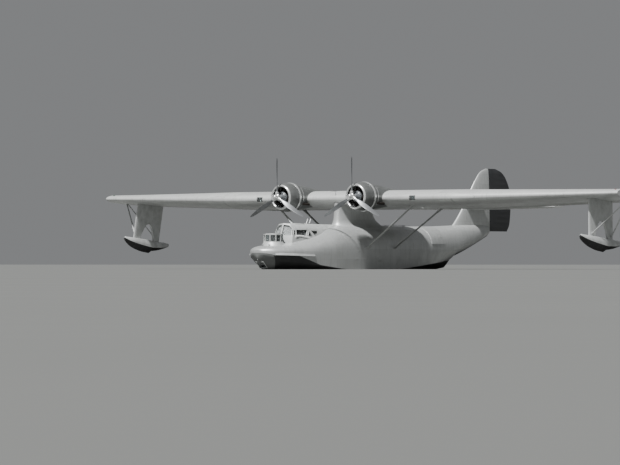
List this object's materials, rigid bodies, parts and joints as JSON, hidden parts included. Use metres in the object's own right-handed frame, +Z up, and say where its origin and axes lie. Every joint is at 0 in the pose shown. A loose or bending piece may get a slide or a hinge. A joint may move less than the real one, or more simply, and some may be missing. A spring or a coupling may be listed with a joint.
{
  "type": "twin-engined flying boat",
  "caption": "Parasol-winged flying boat with radial engines, wing-tip floats on swung-down legs, a stepped hull and a glazed cockpit, stored level and afloat.",
  "frame": {"origin": "On the centreline at the waterline, above the hull's main step", "axes": "+X to port, +Y aft, +Z up; the hull's keel is level"},
  "size_m": [30.16, 19.85, 5.909],
  "materials": {
    "silver_hull_paint": "aluminium lacquer on a riveted hull, satin, dark below the waterline",
    "silver_paint": "aluminium lacquer, satin",
    "silver_dope": "doped linen, silver, satin, ribs showing",
    "cowl_paint": "aluminium lacquer with bright bands, satin",
    "engine_metal": "cast and finned grey metal",
    "blade_metal": "ground forged blade, satin",
    "tail_paint": "doped linen, dark, satin",
    "clear_glass": "clear laminated sheet",
    "bare_metal": "bare, lightly worn",
    "cabin_paint": "dull interior green",
    "panel_black": "crackle black",
    "seat_leather": "worn brown hide"
  },
  "bodies": {
    "airframe": {"hull_bow": "silver_hull_paint", "hull_cockpit": "silver_hull_paint", "hull_centre": "silver_hull_paint", "hull_waist": "silver_hull_paint", "hull_tail": "silver_hull_paint", "bow_window": "clear_glass", "cockpit_canopy": "silver_paint", "canopy_glass": "clear_glass", "bow_turret": "silver_paint", "turret_glass": "clear_glass", "roof_posts": "bare_metal", "bow_bulkhead": "cabin_paint", "instrument_panel": "panel_black", "control_yoke": "panel_black", "seat_port": "seat_leather", "seat_starboard": "seat_leather", "cowling_port": "cowl_paint", "cowling_starboard": "cowl_paint", "engine_port": "engine_metal", "engine_starboard": "engine_metal", "nacelle_port": "silver_paint", "nacelle_starboard": "silver_paint", "wing_centre": "silver_paint", "wing_outer_port": "silver_paint", "wing_outer_starboard": "silver_paint", "landing_lamp_port": "clear_glass", "landing_lamp_starboard": "clear_glass", "wing_mast": "bare_metal", "pylon": "silver_paint", "strut_front_port": "silver_paint", "strut_front_starboard": "silver_paint", "strut_rear_port": "silver_paint", "strut_rear_starboard": "silver_paint", "float_port": "silver_paint", "float_starboard": "silver_paint", "float_leg_port": "silver_paint", "float_leg_starboard": "silver_paint", "float_brace_port": "silver_paint", "float_brace_starboard": "silver_paint", "fin": "silver_paint", "tailplane": "silver_paint"},
    "propeller_port": {"propeller_port": "blade_metal"},
    "propeller_starboard": {"propeller_starboard": "blade_metal"},
    "rudder": {"rudder": "tail_paint"},
    "elevator_port": {"elevator_port": "silver_dope"},
    "elevator_starboard": {"elevator_starboard": "silver_dope"},
    "aileron_port": {"aileron_port": "silver_dope"},
    "aileron_starboard": {"aileron_starboard": "silver_dope"},
    "bow_hatch": {"bow_hatch": "silver_paint"},
    "roof_hatch_port": {"roof_hatch_port": "silver_paint"},
    "roof_hatch_starboard": {"roof_hatch_starboard": "silver_paint"},
    "waist_hatch_port": {"waist_hatch_port": "silver_hull_paint"},
    "waist_hatch_starboard": {"waist_hatch_starboard": "silver_hull_paint"}
  },
  "joints": [
    {"name": "propeller_port_spin", "type": "hinge", "parent": "airframe", "child": "propeller_port", "pos_m": [2.2, -4.2, 3.36], "axis": [0, 1, 0], "continuous": true},
    {"name": "propeller_starboard_spin", "type": "hinge", "parent": "airframe", "child": "propeller_starboard", "pos_m": [-2.2, -4.2, 3.36], "axis": [0, 1, 0], "continuous": true},
    {"name": "rudder_turn", "type": "hinge", "parent": "airframe", "child": "rudder", "pos_m": [0, 9.55, 2.5], "axis": [0, 0, 1], "range_deg": [-25, 25]},
    {"name": "elevator_port_turn", "type": "hinge", "parent": "airframe", "child": "elevator_port", "pos_m": [2, 8.93, 3], "axis": [1, 0, 0], "range_deg": [-20, 30]},
    {"name": "elevator_starboard_turn", "type": "hinge", "parent": "airframe", "child": "elevator_starboard", "pos_m": [-2, 8.93, 3], "axis": [1, 0, 0], "range_deg": [-20, 30]},
    {"name": "aileron_port_turn", "type": "hinge", "parent": "airframe", "child": "aileron_port", "pos_m": [7.3, 0.9368, 3.01563], "axis": [0.9997, -0.0003, 0.0262], "range_deg": [-20, 20]},
    {"name": "aileron_starboard_turn", "type": "hinge", "parent": "airframe", "child": "aileron_starboard", "pos_m": [-7.3, 0.9368, 3.01563], "axis": [0.9997, 0.0003, -0.0262], "range_deg": [-20, 20]},
    {"name": "bow_hatch_lid", "type": "hinge", "parent": "airframe", "child": "bow_hatch", "pos_m": [0, -6.864, 1.642], "axis": [-1, 0, 0], "range_deg": [0, 110]},
    {"name": "roof_hatch_port_lid", "type": "hinge", "parent": "airframe", "child": "roof_hatch_port", "pos_m": [0.04, -5.67, 2.124], "axis": [0, -0.9999, 0.0113], "range_deg": [0, 85]},
    {"name": "roof_hatch_starboard_lid", "type": "hinge", "parent": "airframe", "child": "roof_hatch_starboard", "pos_m": [-0.04, -5.67, 2.124], "axis": [0, 0.9999, -0.0113], "range_deg": [0, 85]},
    {"name": "waist_hatch_port_lid", "type": "hinge", "parent": "airframe", "child": "waist_hatch_port", "pos_m": [0.385, 3.85, 2.033], "axis": [0, -1, -0.0029], "range_deg": [0, 100]},
    {"name": "waist_hatch_starboard_lid", "type": "hinge", "parent": "airframe", "child": "waist_hatch_starboard", "pos_m": [-0.385, 3.85, 2.033], "axis": [0, 1, 0.0029], "range_deg": [0, 100]}
  ],
  "couplings": [
    {"joint": "elevator_starboard_turn", "follows": "elevator_port_turn", "ratio": 1},
    {"joint": "aileron_starboard_turn", "follows": "aileron_port_turn", "ratio": -1}
  ]
}
